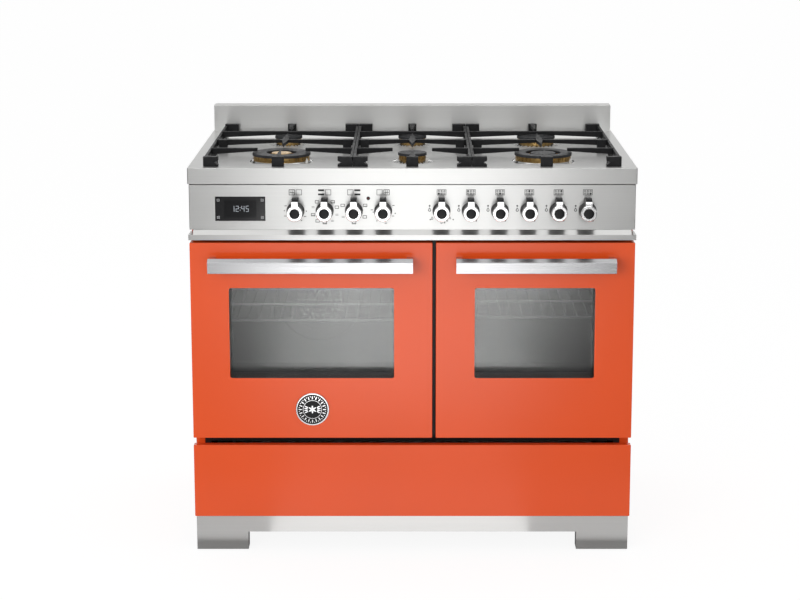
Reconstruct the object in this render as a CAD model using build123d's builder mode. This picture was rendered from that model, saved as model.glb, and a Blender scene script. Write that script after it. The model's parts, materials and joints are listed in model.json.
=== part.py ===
"""Freestanding gas range, 100 cm wide, with two electric ovens, a storage drawer and six burners.

Frame: +Z up, the front faces -Y, +X to the right as seen from the front. Millimetres.
The origin is at floor level, in the middle of the width and of the depth.
"""

from build123d import *
from math import cos, pi, sin
import os

# ---------------------------------------------------------------- driving dimensions
WIDTH = 1000.0  # cooktop rim, side to side
DEPTH = 688.0  # door handles to the back of the backguard
HOB_Z = 890.0  # top of the cooktop rim
RIM_HEIGHT = 36.0
BACKGUARD_RISE = 68.0
BACKGUARD_DEPTH = 30.0
SHEET = 1.2  # casing steel
SKIN = 1.5  # door, drawer and trim steel

HANDLE_Y = -DEPTH / 2  # front of the door handles
BACK_Y = DEPTH / 2
DOOR_Y = -296.0  # front of the doors, drawer and ledge
PANEL_Y = -286.0  # front of the control panel and of the cooktop rim
FRAME_Y = -244.0  # front of the casing behind the doors
REAR_Y = 326.0  # outside of the casing at the back
DOOR_BACK_Y = -250.0
TOE_Y = -281.0  # front of the plinth

CASE_X = 496.0  # outside of the side panels
BASE_Z = 70.0
CASE_TOP_Z = 868.0
DRAWER_Z = (86.0, 255.0)
DOOR_Z = (272.0, 723.0)
LEDGE_Z = (729.0, 741.0, 751.0)
PANEL_Z = (751.2, 852.0)
STILE = 20.0  # side panel's front flange

LEFT_DOOR_X = (-497.0, 45.0)
RIGHT_DOOR_X = (53.0, 497.0)
LEFT_WINDOW_X = (-411.0, -41.0)
RIGHT_WINDOW_X = (140.0, 410.0)
WINDOW_Z = (412.0, 620.0)
LEFT_OVEN_X = (-446.0, -6.0)
RIGHT_OVEN_X = (105.0, 445.0)
OVEN_Z = (335.0, 665.0)
OVEN_BACK_Y = 150.0
LEFT_RACK_Z = 530.0
RIGHT_RACK_Z = 537.0
PLUG_Y = -241.0  # inner face of the door's inner pane

HINGE_Y = -276.0
HINGE_Z = 286.0
PIN_R = 4.0
LUG_R = 8.0
RUNNING = 0.05  # radial clearance of every pin and shaft
LEFT_HINGES_X = (-437.0, -15.0)
RIGHT_HINGES_X = (105.0, 445.0)

KNOB_Z = 794.0
OVEN_KNOBS_X = (-260.0, -195.0, -130.0, -65.0)
BURNER_KNOBS_X = (65.0, 130.0, 195.0, 260.0, 325.0, 390.0)
KNOB_FRONT_Y = -329.0
KNOB_BACK_Y = -289.5
SHAFT_TIP_Y = -310.5
PUSH = 3.0  # travel of a burner knob before it turns
TAP_Y = (-262.0, -215.0)
MANIFOLD_X = (45.0, 460.0)

DISPLAY_X = (-439.0, -327.0)
DISPLAY_Z = (771.0, 826.0)
LAMP = (-98.0, 822.0)
BADGE = (-226.0, 340.0)

PAN_Z = 882.0
PAN_X = 467.0
PAN_Y = (-226.0, 262.0)
PAN_SLOPE = 9.0  # width of the sloped band between rim and pan
CAP_TOP_Z = 902.5
CAP_Z = 896.5
CROWN_Z = 886.0
BURNER_X = 300.0
FRONT_Y = -126.0
REAR_BURNER_Y = 154.0
# x, y, cap radius, inner radius of a ring-shaped cap
BURNERS = (
    (-BURNER_X, FRONT_Y, 66.5, 34.0),
    (0.0, FRONT_Y, 33.0, 0.0),
    (BURNER_X, FRONT_Y, 65.5, 40.0),
    (-BURNER_X, REAR_BURNER_Y, 33.0, 0.0),
    (0.0, REAR_BURNER_Y, 34.0, 0.0),
    (BURNER_X, REAR_BURNER_Y, 46.0, 0.0),
)

GRATE_Z = (898.0, 912.0)
RAIL = 6.0
GRATE_Y = (-266.0, 299.0)
FOOT_GAP = 0.3  # under every grate foot, so that the castings only rest
BARS_Y = (FRONT_Y, 14.0, REAR_BURNER_Y)
FRONT_TIE_Y = (-214.0, -208.0)  # just inside the pan, below the rim

FAN_X = sum(LEFT_OVEN_X) / 2
FAN_Z = sum(OVEN_Z) / 2
FAN_COVER_Y = 125.0
INLET_X = 460.0
INLET_Z = 794.0
INLET_R = 10.48  # G1/2 pipe thread
FEET = ((-440.0, -215.0), (440.0, -215.0), (-440.0, 270.0), (440.0, 270.0))

os.makedirs("parts", exist_ok=True)


# ---------------------------------------------------------------- helpers
def block(x, y, z, mode=Mode.ADD):
    """A box from its (low, high) span along each axis, in the part being built."""
    with Locations((sum(x) / 2, sum(y) / 2, sum(z) / 2)):
        Box(x[1] - x[0], y[1] - y[0], z[1] - z[0], mode=mode)


def rod(start, end, radius, mode=Mode.ADD):
    """A round bar between two points, in the part being built."""
    run = Vector(*end) - Vector(*start)
    with BuildSketch(Plane(origin=start, z_dir=run.normalized())) as section:
        Circle(radius)
    extrude(section.sketch, amount=run.length, mode=mode)


def facing(y):
    """A sketch plane parallel to the front: local x is X, local y is Z, and it extrudes towards -Y."""
    return Plane(origin=(0, y, 0), x_dir=(1, 0, 0), z_dir=(0, -1, 0))


def panel(x, z, y, radius=0.0, mode=Mode.ADD):
    """An upright plate over spans x and z, with rounded corners, from y[0] in front to y[1]."""
    with BuildSketch(facing(y[1])) as outline:
        with Locations((sum(x) / 2, sum(z) / 2)):
            if radius:
                RectangleRounded(x[1] - x[0], z[1] - z[0], radius)
            else:
                Rectangle(x[1] - x[0], z[1] - z[0])
    extrude(outline.sketch, amount=y[1] - y[0], mode=mode)


def prism(points, plane, amount, both=False, mode=Mode.ADD):
    """A polygon, extruded from its plane."""
    with BuildSketch(plane) as outline:
        with BuildLine():
            Polyline(*points, close=True)
        make_face()
    extrude(outline.sketch, amount=amount, both=both, mode=mode)


def wider(span, by):
    """The span, grown by that much at both ends."""
    return (span[0] - by, span[1] + by)


def save(part, name):
    """Labels a finished piece and writes it."""
    part.label = name
    export_step(part, f"parts/{name}.step")


# ---------------------------------------------------------------- casing
def side_panel(side, name):
    """Painted side wall with a front stile and a rear flange; side is -1 on the left."""
    outer = side * CASE_X
    inner = side * (CASE_X - SHEET)
    stile = side * (CASE_X - STILE)
    rear = REAR_Y - SHEET
    profile = (
        (outer, FRAME_Y), (stile, FRAME_Y), (stile, FRAME_Y + SHEET), (inner, FRAME_Y + SHEET),
        (inner, rear), (stile, rear), (stile, REAR_Y), (outer, REAR_Y),
    )
    with BuildPart() as wall:
        prism(profile, Plane.XY.offset(BASE_Z - 8), CASE_TOP_Z - BASE_Z + 8)
    save(wall.part, name)


side_panel(-1, "side_panel_left")
side_panel(1, "side_panel_right")

inside_x = CASE_X - SHEET
FRAME_BACK_Y = FRAME_Y + 2 * SHEET

with BuildPart() as rear_panel:
    panel((-inside_x, inside_x), (BASE_Z - 8, CASE_TOP_Z), (REAR_Y, REAR_Y + SHEET))
    rod((INLET_X, REAR_Y, INLET_Z), (INLET_X, REAR_Y + SHEET, INLET_Z), 13, Mode.SUBTRACT)
    with BuildSketch(facing(REAR_Y + SHEET)):
        for row_z in (700.0, 730.0, 760.0):
            with Locations((60, row_z)):
                with GridLocations(44, 1, 10, 1):
                    SlotOverall(32, 6)
    extrude(amount=SHEET, mode=Mode.SUBTRACT)
save(rear_panel.part, "rear_panel")

with BuildPart() as base_plate:
    block((-inside_x, inside_x), (FRAME_BACK_Y, REAR_Y - SHEET), (BASE_Z, BASE_Z + SHEET))
save(base_plate.part, "base_plate")

with BuildPart() as front_frame:
    panel((-inside_x, inside_x), (BASE_Z + SHEET, PANEL_Z[0]), (FRAME_Y + SHEET, FRAME_BACK_Y))
    for oven_x in (LEFT_OVEN_X, RIGHT_OVEN_X):
        panel(oven_x, OVEN_Z, (FRAME_Y, FRAME_BACK_Y), 8, Mode.SUBTRACT)
    panel((-462, 462), (92, 250), (FRAME_Y, FRAME_BACK_Y), 2, Mode.SUBTRACT)
    for lug_x in LEFT_HINGES_X + RIGHT_HINGES_X:
        block((lug_x - 7, lug_x + 7), (HINGE_Y, FRAME_Y + SHEET), (HINGE_Z - LUG_R, HINGE_Z + LUG_R))
        rod((lug_x - 7, HINGE_Y, HINGE_Z), (lug_x + 7, HINGE_Y, HINGE_Z), LUG_R)
        rod((lug_x - 7, HINGE_Y, HINGE_Z), (lug_x + 7, HINGE_Y, HINGE_Z), PIN_R + RUNNING, Mode.SUBTRACT)
save(front_frame.part, "front_frame")

with BuildPart() as plinth:
    toe_top = DRAWER_Z[0] - 1.5
    toe_x = CASE_X - 1
    leg = 118.0
    block((-toe_x, toe_x), (TOE_Y, TOE_Y + SKIN), (44, toe_top))
    block((-toe_x, toe_x), (TOE_Y, FRAME_Y), (toe_top - SKIN, toe_top))
    for side in (-1, 1):
        outer_x = sorted((side * toe_x, side * (toe_x - leg)))
        block(outer_x, (TOE_Y, TOE_Y + SKIN), (2, 44))
        block(sorted((side * toe_x, side * (toe_x - SKIN))), (TOE_Y, FRAME_Y), (2, toe_top))
        cheek_x = sorted((side * (toe_x - leg), side * (toe_x - leg + SKIN)))
        block(cheek_x, (TOE_Y, FRAME_Y), (2, 44))
    front_edges = plinth.edges().filter_by(Axis.Z).group_by(Axis.Y)[0]
    fillet(front_edges.sort_by(Axis.X)[0], 1.0)
    fillet(plinth.edges().filter_by(Axis.Z).group_by(Axis.Y)[0].sort_by(Axis.X)[-1], 1.0)
save(plinth.part, "plinth")

with BuildPart() as leveling_feet:
    for foot_x, foot_y in FEET:
        rod((foot_x, foot_y, 0), (foot_x, foot_y, 9), 22)
        rod((foot_x, foot_y, 9), (foot_x, foot_y, BASE_Z), 6)
        with BuildSketch(Plane.XY.offset(BASE_Z - 10)):
            with Locations((foot_x, foot_y)):
                RegularPolygon(11, 6)
        extrude(amount=10)
    chamfer(leveling_feet.edges().filter_by(GeomType.CIRCLE).group_by(Axis.Z)[0], 1.5)
save(leveling_feet.part, "leveling_feet")

# ---------------------------------------------------------------- cooktop
with BuildPart() as cooktop:
    block((-WIDTH / 2, WIDTH / 2), (PANEL_Y, BACK_Y), (HOB_Z - RIM_HEIGHT, HOB_Z))
    fillet(cooktop.edges().filter_by(Axis.Z), 2.0)
    fillet(cooktop.edges().group_by(Axis.Z)[-1], 1.5)
    pan_size = (2 * PAN_X, PAN_Y[1] - PAN_Y[0])
    pan_centre = (0, sum(PAN_Y) / 2)
    with BuildSketch(Plane.XY.offset(HOB_Z)):
        with Locations(pan_centre):
            RectangleRounded(*pan_size, 24)
    with BuildSketch(Plane.XY.offset(PAN_Z)):
        with Locations(pan_centre):
            RectangleRounded(pan_size[0] - 2 * PAN_SLOPE, pan_size[1] - 2 * PAN_SLOPE, 16)
    loft(mode=Mode.SUBTRACT)
    block((-WIDTH / 2 + SKIN, WIDTH / 2 - SKIN), (PANEL_Y + SKIN, BACK_Y - SKIN),
          (HOB_Z - RIM_HEIGHT, PAN_Z - SKIN), Mode.SUBTRACT)
    for burner_x, burner_y, cap_r, ring_r in BURNERS:
        flare = 6.0 if ring_r else 18.0
        with BuildSketch(Plane(origin=(burner_x, burner_y, 0), x_dir=(1, 0, 0), z_dir=(0, -1, 0))):
            with BuildLine():
                Polyline((0, PAN_Z - SKIN), (cap_r + flare, PAN_Z - SKIN), (cap_r + flare, PAN_Z),
                         (cap_r + 2, CROWN_Z), (0, CROWN_Z), close=True)
            make_face()
        revolve(axis=Axis((burner_x, burner_y, 0), (0, 0, 1)))
        rod((burner_x, burner_y, PAN_Z - SKIN), (burner_x, burner_y, CROWN_Z), 14, Mode.SUBTRACT)
save(cooktop.part, "cooktop")

with BuildPart() as backguard:
    guard_x = WIDTH / 2 - 4.5
    guard_y = (BACK_Y - BACKGUARD_DEPTH, BACK_Y)
    guard_top = HOB_Z + BACKGUARD_RISE
    block((-guard_x, guard_x), guard_y, (HOB_Z, guard_top))
    fillet(backguard.edges().group_by(Axis.Z)[-1], 3.0)
    block(wider((-guard_x, guard_x), -SHEET), wider(guard_y, -SHEET), (HOB_Z, guard_top - 3.2), Mode.SUBTRACT)
    with BuildSketch(facing(BACK_Y)):
        with Locations((0, HOB_Z + 34)):
            with GridLocations(60, 1, 14, 1):
                SlotOverall(44, 8)
    extrude(amount=SHEET, mode=Mode.SUBTRACT)
save(backguard.part, "backguard")


def port_slots(x, y, radius, count, depth=2.5):
    """Flame ports cut round a crown."""
    with BuildSketch(Plane.XY.offset(CROWN_Z + 2)) as slots:
        with Locations((x, y)):
            with PolarLocations(radius, count):
                Rectangle(2 * depth, 1.8)
    extrude(slots.sketch, amount=CAP_Z - CROWN_Z - 2, mode=Mode.SUBTRACT)


with BuildPart() as burner_crowns:
    for burner_x, burner_y, cap_r, ring_r in BURNERS:
        rod((burner_x, burner_y, CROWN_Z - 26), (burner_x, burner_y, CROWN_Z), 13)
        rod((burner_x, burner_y, CROWN_Z), (burner_x, burner_y, CAP_Z), cap_r - 2)
        port_slots(burner_x, burner_y, cap_r - 2, 36 if ring_r else 24)
        if ring_r:
            rod((burner_x, burner_y, CROWN_Z + 2), (burner_x, burner_y, CAP_Z), ring_r + 2, Mode.SUBTRACT)
            rod((burner_x, burner_y, CROWN_Z), (burner_x, burner_y, CAP_Z), ring_r - 13)
            port_slots(burner_x, burner_y, ring_r - 13, 16, 1.5)
save(burner_crowns.part, "burner_crowns")

with BuildPart() as burner_caps:
    for burner_x, burner_y, cap_r, ring_r in BURNERS:
        rod((burner_x, burner_y, CAP_Z), (burner_x, burner_y, CAP_TOP_Z), cap_r)
        if ring_r:
            rod((burner_x, burner_y, CAP_Z), (burner_x, burner_y, CAP_TOP_Z), ring_r, Mode.SUBTRACT)
            rod((burner_x, burner_y, CAP_Z), (burner_x, burner_y, CAP_TOP_Z - 1), ring_r - 11)
    top_edges = burner_caps.edges().filter_by(GeomType.CIRCLE).filter_by_position(Axis.Z, CAP_TOP_Z - 1.2, CAP_TOP_Z + 0.2)
    fillet(top_edges, 1.8)
save(burner_caps.part, "burner_caps")

# ---------------------------------------------------------------- control panel
with BuildPart() as control_panel:
    panel_x = (-497.0, 497.0)
    panel_y = (PANEL_Y, FRAME_Y)
    block(panel_x, panel_y, PANEL_Z)
    fillet(control_panel.edges().group_by(Axis.Y)[0].filter_by(Axis.Z), 1.5)
    block(wider(panel_x, -SHEET), (PANEL_Y + SHEET, FRAME_Y), wider(PANEL_Z, -SHEET), Mode.SUBTRACT)
    panel(DISPLAY_X, DISPLAY_Z, (PANEL_Y, PANEL_Y + SHEET), 1.0, Mode.SUBTRACT)
    for knob_x in OVEN_KNOBS_X + BURNER_KNOBS_X:
        rod((knob_x, PANEL_Y, KNOB_Z), (knob_x, PANEL_Y + SHEET, KNOB_Z), 6, Mode.SUBTRACT)
    rod((LAMP[0], PANEL_Y, LAMP[1]), (LAMP[0], PANEL_Y + SHEET, LAMP[1]), 2.5, Mode.SUBTRACT)
save(control_panel.part, "control_panel")

with BuildPart() as display_module:
    panel(DISPLAY_X, DISPLAY_Z, (PANEL_Y - 0.6, PANEL_Y + SHEET), 1.0)
    panel(wider(DISPLAY_X, 6), wider(DISPLAY_Z, 6), (PANEL_Y + SHEET, PANEL_Y + 26))
save(display_module.part, "display_module")

with BuildPart() as indicator_lamp:
    rod((LAMP[0], PANEL_Y - 1, LAMP[1]), (LAMP[0], PANEL_Y + 14, LAMP[1]), 2.5)
    fillet(indicator_lamp.edges().group_by(Axis.Y)[0], 0.9)
    rod((LAMP[0], PANEL_Y + SHEET, LAMP[1]), (LAMP[0], PANEL_Y + 14, LAMP[1]), 6)
save(indicator_lamp.part, "indicator_lamp")

with BuildPart() as lower_trim:
    low, knee, top = LEDGE_Z
    ledge = (
        (DOOR_Y, low), (DOOR_Y, knee), (PANEL_Y, top), (FRAME_Y, top), (FRAME_Y, top - SKIN),
        (PANEL_Y + 0.6, top - SKIN), (DOOR_Y + SKIN, knee - 0.6), (DOOR_Y + SKIN, low),
    )
    prism(ledge, Plane.YZ, 489, both=True)
    for end_x in ((-499, -489), (489, 499)):
        block(end_x, (DOOR_Y, FRAME_Y), (low, knee))
save(lower_trim.part, "lower_trim")

with BuildPart() as oven_switches:
    for knob_x in OVEN_KNOBS_X:
        rod((knob_x, SHAFT_TIP_Y, KNOB_Z), (knob_x, -268, KNOB_Z), PIN_R)
        rod((knob_x, -268, KNOB_Z), (knob_x, -236, KNOB_Z), 18)
        block((knob_x - 14, knob_x + 14), (-240, -222), (KNOB_Z - 20, KNOB_Z + 20))
save(oven_switches.part, "oven_switches")

with BuildPart() as gas_taps:
    pipe_y = TAP_Y[1]
    rod((MANIFOLD_X[0], pipe_y, KNOB_Z), (MANIFOLD_X[1], pipe_y, KNOB_Z), 10)
    rod((INLET_X, pipe_y - 10, INLET_Z), (INLET_X, BACK_Y - 16, INLET_Z), 10)
    rod((INLET_X, BACK_Y - 16, INLET_Z), (INLET_X, BACK_Y - 1, INLET_Z), INLET_R)
    for knob_x in BURNER_KNOBS_X:
        block((knob_x - 11, knob_x + 11), TAP_Y, (KNOB_Z - 13, KNOB_Z + 13))
    for knob_x in BURNER_KNOBS_X:
        rod((knob_x, TAP_Y[0], KNOB_Z), (knob_x, TAP_Y[0] + 18, KNOB_Z), PIN_R + RUNNING, Mode.SUBTRACT)
        rod((knob_x, TAP_Y[1] - 6, KNOB_Z + 13), (knob_x, TAP_Y[1] - 6, KNOB_Z + 34), 4)
save(gas_taps.part, "gas_taps")


# ---------------------------------------------------------------- ovens
def oven_liner(x, rack_z, name, fan=False):
    """Enamelled oven box, open at the front, with ribs that hold a rack at four heights."""
    with BuildPart() as liner:
        block(wider(x, SHEET), (FRAME_BACK_Y, OVEN_BACK_Y + SHEET), wider(OVEN_Z, SHEET))
        block(x, (FRAME_BACK_Y, OVEN_BACK_Y), OVEN_Z, Mode.SUBTRACT)
        fillet(liner.edges().filter_by(Axis.Y).group_by(SortBy.LENGTH)[0], 8)
        for level in (rack_z - 130, rack_z - 65, rack_z, rack_z + 65):
            for low_z in (level - 7.3, level + 7.0):
                for rib_x in ((x[0] - 0.2, x[0] + 9), (x[1] - 9, x[1] + 0.2)):
                    block(rib_x, (-236, 142), (low_z, low_z + 4))
        if fan:
            rod((FAN_X, OVEN_BACK_Y, FAN_Z), (FAN_X, OVEN_BACK_Y + SHEET, FAN_Z), 8, Mode.SUBTRACT)
    save(liner.part, name)


oven_liner(LEFT_OVEN_X, LEFT_RACK_Z, "oven_liner_left", fan=True)
oven_liner(RIGHT_OVEN_X, RIGHT_RACK_Z, "oven_liner_right")

with BuildPart() as fan_cover:
    rod((FAN_X, FAN_COVER_Y, FAN_Z), (FAN_X, OVEN_BACK_Y, FAN_Z), 104)
    fillet(fan_cover.edges().group_by(Axis.Y)[0], 6)
    rod((FAN_X, FAN_COVER_Y + SHEET, FAN_Z), (FAN_X, OVEN_BACK_Y, FAN_Z), 96, Mode.SUBTRACT)
    with BuildSketch(facing(FAN_COVER_Y + SHEET)):
        for ring in range(1, 7):
            with Locations((FAN_X, FAN_Z)):
                with PolarLocations(13 * ring, 6 * ring):
                    Circle(3.4)
    extrude(amount=SHEET, mode=Mode.SUBTRACT)
save(fan_cover.part, "fan_cover")

with BuildPart() as convection_fan:
    rod((FAN_X, 132, FAN_Z), (FAN_X, OVEN_BACK_Y + 20, FAN_Z), 3)
    rod((FAN_X, 132, FAN_Z), (FAN_X, 146, FAN_Z), 12)
    rod((FAN_X, 145, FAN_Z), (FAN_X, 146.2, FAN_Z), 62)
    for blade in range(8):
        angle = 2 * pi * blade / 8
        along = Vector(cos(angle), 0, sin(angle))
        with BuildSketch(Plane(origin=(FAN_X, 145.5, FAN_Z), x_dir=along, z_dir=(0, -1, 0))):
            with Locations((38, 0)):
                Rectangle(44, 1.5, rotation=12)
        extrude(amount=12)
save(convection_fan.part, "convection_fan")

with BuildPart() as fan_motor:
    rod((FAN_X, OVEN_BACK_Y + SHEET, FAN_Z), (FAN_X, OVEN_BACK_Y + 8, FAN_Z), 42)
    rod((FAN_X, OVEN_BACK_Y + 8, FAN_Z), (FAN_X, OVEN_BACK_Y + 48, FAN_Z), 33)
    rod((FAN_X, OVEN_BACK_Y + SHEET, FAN_Z), (FAN_X, OVEN_BACK_Y + 22, FAN_Z), 3 + RUNNING, Mode.SUBTRACT)
save(fan_motor.part, "fan_motor")


def element(x, z):
    """A bent tube heater under an oven's roof, with both of its ends in the back wall."""
    runs = 6
    front, turn = -190.0, 95.0
    pitch = (x[1] - x[0] - 90) / (runs - 1)
    points = []
    for i in range(runs):
        run_x = x[0] + 45 + i * pitch
        back = OVEN_BACK_Y if i in (0, runs - 1) else turn
        ends = (front, back) if i % 2 else (back, front)
        points += [(run_x, ends[0], z), (run_x, ends[1], z)]
    with BuildLine() as path:
        FilletPolyline(*points, radius=0.45 * pitch)
    with BuildSketch(Plane(origin=points[0], z_dir=(0, -1, 0))) as section:
        Circle(3.2)
    sweep(section.sketch, path=path.wires()[0])


with BuildPart() as heating_elements:
    with Locations(Location((FAN_X, 138, FAN_Z), (90, 0, 0))):
        Torus(82, 3.2)
    for oven_x in (LEFT_OVEN_X, RIGHT_OVEN_X):
        element(oven_x, OVEN_Z[1] - 18)
save(heating_elements.part, "heating_elements")


def rack(x, z, name):
    """Wire shelf: three cross rails, two side rails and wires from front to back."""
    front, back = -226.0, 110.0
    side_x = (x[0] + 5, x[1] - 5)
    with BuildPart() as shelf:
        for rail_y in (front, (front + back) / 2, back):
            rod((side_x[0], rail_y, z), (side_x[1], rail_y, z), 3)
        for rail_x in side_x:
            rod((rail_x, front, z), (rail_x, back, z), 3)
        count = int((side_x[1] - side_x[0]) // 25)
        first = (sum(side_x) - 25 * (count - 1)) / 2
        for i in range(count):
            wire_x = first + 25 * i
            rod((wire_x, front - 1, z + 3.6), (wire_x, back + 1, z + 3.6), 1.6)
    save(shelf.part, name)


rack(LEFT_OVEN_X, LEFT_RACK_Z, "rack_left")
rack(RIGHT_OVEN_X, RIGHT_RACK_Z, "rack_right")

with BuildPart() as door_seals:
    for oven_x in (LEFT_OVEN_X, RIGHT_OVEN_X):
        panel(wider(oven_x, 14), wider(OVEN_Z, 14), (DOOR_BACK_Y + 0.4, FRAME_Y + SHEET), 18)
        panel(wider(oven_x, 4), wider(OVEN_Z, 4), (DOOR_BACK_Y, FRAME_Y + SHEET), 10, Mode.SUBTRACT)
save(door_seals.part, "door_seals")


# ---------------------------------------------------------------- doors
def door(x, window_x, hinges_x, side):
    """Skin, inner panel, panes, handle and hinges of one drop-down door."""
    hollow_x = wider(x, -SKIN)
    hollow_z = wider(DOOR_Z, -SKIN)
    with BuildPart() as skin:
        panel(x, DOOR_Z, (DOOR_Y, DOOR_BACK_Y))
        fillet(skin.edges().filter_by(Axis.Y), 2.0)
        fillet(skin.edges().group_by(Axis.Y)[0], 1.2)
        panel(hollow_x, hollow_z, (DOOR_Y + SKIN, DOOR_BACK_Y), 0, Mode.SUBTRACT)
        panel(window_x, WINDOW_Z, (DOOR_Y, DOOR_Y + SKIN), 5, Mode.SUBTRACT)
        for hinge_x in hinges_x:
            block((hinge_x - 8, hinge_x + 8), (HINGE_Y - 10, DOOR_BACK_Y), (DOOR_Z[0], hollow_z[0]), Mode.SUBTRACT)
    save(skin.part, f"door_{side}_skin")

    with BuildPart() as inner:
        panel(hollow_x, hollow_z, (DOOR_BACK_Y - SKIN, DOOR_BACK_Y))
        panel(wider(window_x, SKIN), wider(WINDOW_Z, SKIN), (DOOR_Y + SKIN, PLUG_Y), 6)
        panel(window_x, WINDOW_Z, (DOOR_Y + SKIN, PLUG_Y), 5, Mode.SUBTRACT)
        for hinge_x in hinges_x:
            block((hinge_x - 8, hinge_x + 8), (DOOR_BACK_Y - SKIN, DOOR_BACK_Y),
                  (hollow_z[0], HINGE_Z + LUG_R + 4), Mode.SUBTRACT)
    save(inner.part, f"door_{side}_inner")

    with BuildPart() as glass:
        for pane_y in (DOOR_Y + 6, PLUG_Y - 4):
            panel(window_x, WINDOW_Z, (pane_y, pane_y + 4), 5)
    save(glass.part, f"door_{side}_glass")

    with BuildPart() as hinges:
        for hinge_x in hinges_x:
            for cheek_x in ((hinge_x - 11, hinge_x - 8), (hinge_x + 8, hinge_x + 11)):
                block(cheek_x, (DOOR_Y + SKIN, DOOR_BACK_Y - SKIN), (hollow_z[0], 330))
            block((hinge_x - 11, hinge_x + 11), (DOOR_Y + SKIN, DOOR_Y + SKIN + 3), (hollow_z[0], 330))
            rod((hinge_x - 8, HINGE_Y, HINGE_Z), (hinge_x + 8, HINGE_Y, HINGE_Z), PIN_R)
    save(hinges.part, f"door_{side}_hinges")

    centre_x = sum(window_x) / 2
    length = 455.0 if side == "left" else 355.0
    bar_x = (centre_x - length / 2, centre_x + length / 2)
    bar = ((HANDLE_Y, 662), (HANDLE_Y, 687), (-333, 694), (-331, 694), (-331, 662))
    with BuildPart() as handle:
        prism(bar, Plane.YZ.offset(bar_x[0]), length)
        for end_x in ((bar_x[0], bar_x[0] + 14), (bar_x[1] - 14, bar_x[1])):
            block(end_x, (-331, DOOR_Y), (664, 691))
        fillet(handle.edges().filter_by(Axis.X).group_by(Axis.Y)[0], 1.2)
    save(handle.part, f"door_{side}_handle")


door(LEFT_DOOR_X, LEFT_WINDOW_X, LEFT_HINGES_X, "left")
door(RIGHT_DOOR_X, RIGHT_WINDOW_X, RIGHT_HINGES_X, "right")

with BuildPart() as badge:
    rod((BADGE[0], DOOR_Y, BADGE[1]), (BADGE[0], DOOR_Y - 4, BADGE[1]), 38)
    fillet(badge.edges().group_by(Axis.Y)[0], 1.8)
    rod((BADGE[0], DOOR_Y - 2.6, BADGE[1]), (BADGE[0], DOOR_Y - 4, BADGE[1]), 31, Mode.SUBTRACT)
save(badge.part, "badge")

# ---------------------------------------------------------------- drawer
DRAWER_BACK_Y = DOOR_Y + 19
with BuildPart() as drawer_front:
    panel((-497, 497), DRAWER_Z, (DOOR_Y, DRAWER_BACK_Y))
    fillet(drawer_front.edges().filter_by(Axis.Y), 2.0)
    fillet(drawer_front.edges().group_by(Axis.Y)[0], 1.2)
    panel((-495.5, 495.5), wider(DRAWER_Z, -SKIN), (DOOR_Y + SKIN, DRAWER_BACK_Y - SHEET), 0, Mode.SUBTRACT)
save(drawer_front.part, "drawer_front")

with BuildPart() as drawer_tray:
    block((-452, 452), (DRAWER_BACK_Y, 180), (100, 235))
    block((-452 + SHEET, 452 - SHEET), (DRAWER_BACK_Y + SHEET, 180 - SHEET), (100 + SHEET, 235), Mode.SUBTRACT)
    for runner_x in ((-457, -452), (452, 457)):
        block(runner_x, (-236, 180), (160, 176))
save(drawer_tray.part, "drawer_tray")

with BuildPart() as drawer_rails:
    for side in (-1, 1):
        web_x = sorted((side * 459, side * 461))
        block(web_x, (FRAME_BACK_Y, 240), (150, 186))
        for lip_z in ((150, 153), (183, 186)):
            block(sorted((side * 454, side * 461)), (FRAME_BACK_Y, 240), lip_z)
        for bracket_y in ((-200, -180), (160, 180)):
            block(sorted((side * 461, side * inside_x)), bracket_y, (160, 176))
save(drawer_rails.part, "drawer_rails")

# ---------------------------------------------------------------- rear terminal box
with BuildPart() as terminal_box:
    block((-440, -340), (REAR_Y + SHEET, 342.5), (700, 780))
    fillet(terminal_box.edges().filter_by(Axis.Y), 5)
    rod((-390, 335, 700), (-390, 335, 684), 7.2)
    with BuildSketch(Plane.XY.offset(690)):
        with Locations((-390, 335)):
            RegularPolygon(8.2, 6)
    extrude(amount=8)
    rod((-390, 335, 684), (-390, 335, 700), 3.6, Mode.SUBTRACT)
save(terminal_box.part, "terminal_box")


# ---------------------------------------------------------------- controls
def knob(x, name):
    """Tapered knob with a raised pointer that overhangs its upper side."""
    with BuildPart() as body:
        with BuildSketch(facing(KNOB_BACK_Y)):
            with Locations((x, KNOB_Z)):
                Circle(20)
        with BuildSketch(facing(KNOB_FRONT_Y + 6)):
            with Locations((x, KNOB_Z)):
                Circle(17.6)
        loft()
        rod((x, KNOB_FRONT_Y + 6, KNOB_Z), (x, KNOB_FRONT_Y, KNOB_Z), 17.6)
        chamfer(body.edges().group_by(Axis.Y)[0], 1.4)
        pointer = (
            (KNOB_FRONT_Y + 1.5, KNOB_Z), (KNOB_FRONT_Y + 1.5, KNOB_Z + 22), (KNOB_FRONT_Y + 5, KNOB_Z + 26),
            (KNOB_FRONT_Y + 11, KNOB_Z + 31), (KNOB_BACK_Y - 4, KNOB_Z + 31), (KNOB_BACK_Y - 4, KNOB_Z),
        )
        prism(pointer, Plane.YZ.offset(x), 7, both=True)
        rod((x, KNOB_FRONT_Y, KNOB_Z), (x, KNOB_FRONT_Y + 1.2, KNOB_Z), 11.2, Mode.SUBTRACT)
        rod((x, KNOB_BACK_Y, KNOB_Z), (x, SHAFT_TIP_Y - 0.5, KNOB_Z), PIN_R + RUNNING, Mode.SUBTRACT)
    save(body.part, name)


oven_knob_names = ("knob_thermostat_left", "knob_function_left", "knob_function_right", "knob_thermostat_right")
for knob_x, knob_name in zip(OVEN_KNOBS_X, oven_knob_names):
    knob(knob_x, knob_name)

for number, knob_x in enumerate(BURNER_KNOBS_X, start=1):
    knob(knob_x, f"knob_burner_{number}")
    with BuildPart() as spindle:
        rod((knob_x, SHAFT_TIP_Y, KNOB_Z), (knob_x, TAP_Y[0] + 18 - PUSH - 1, KNOB_Z), PIN_R)
    save(spindle.part, f"spindle_{number}")


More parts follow.
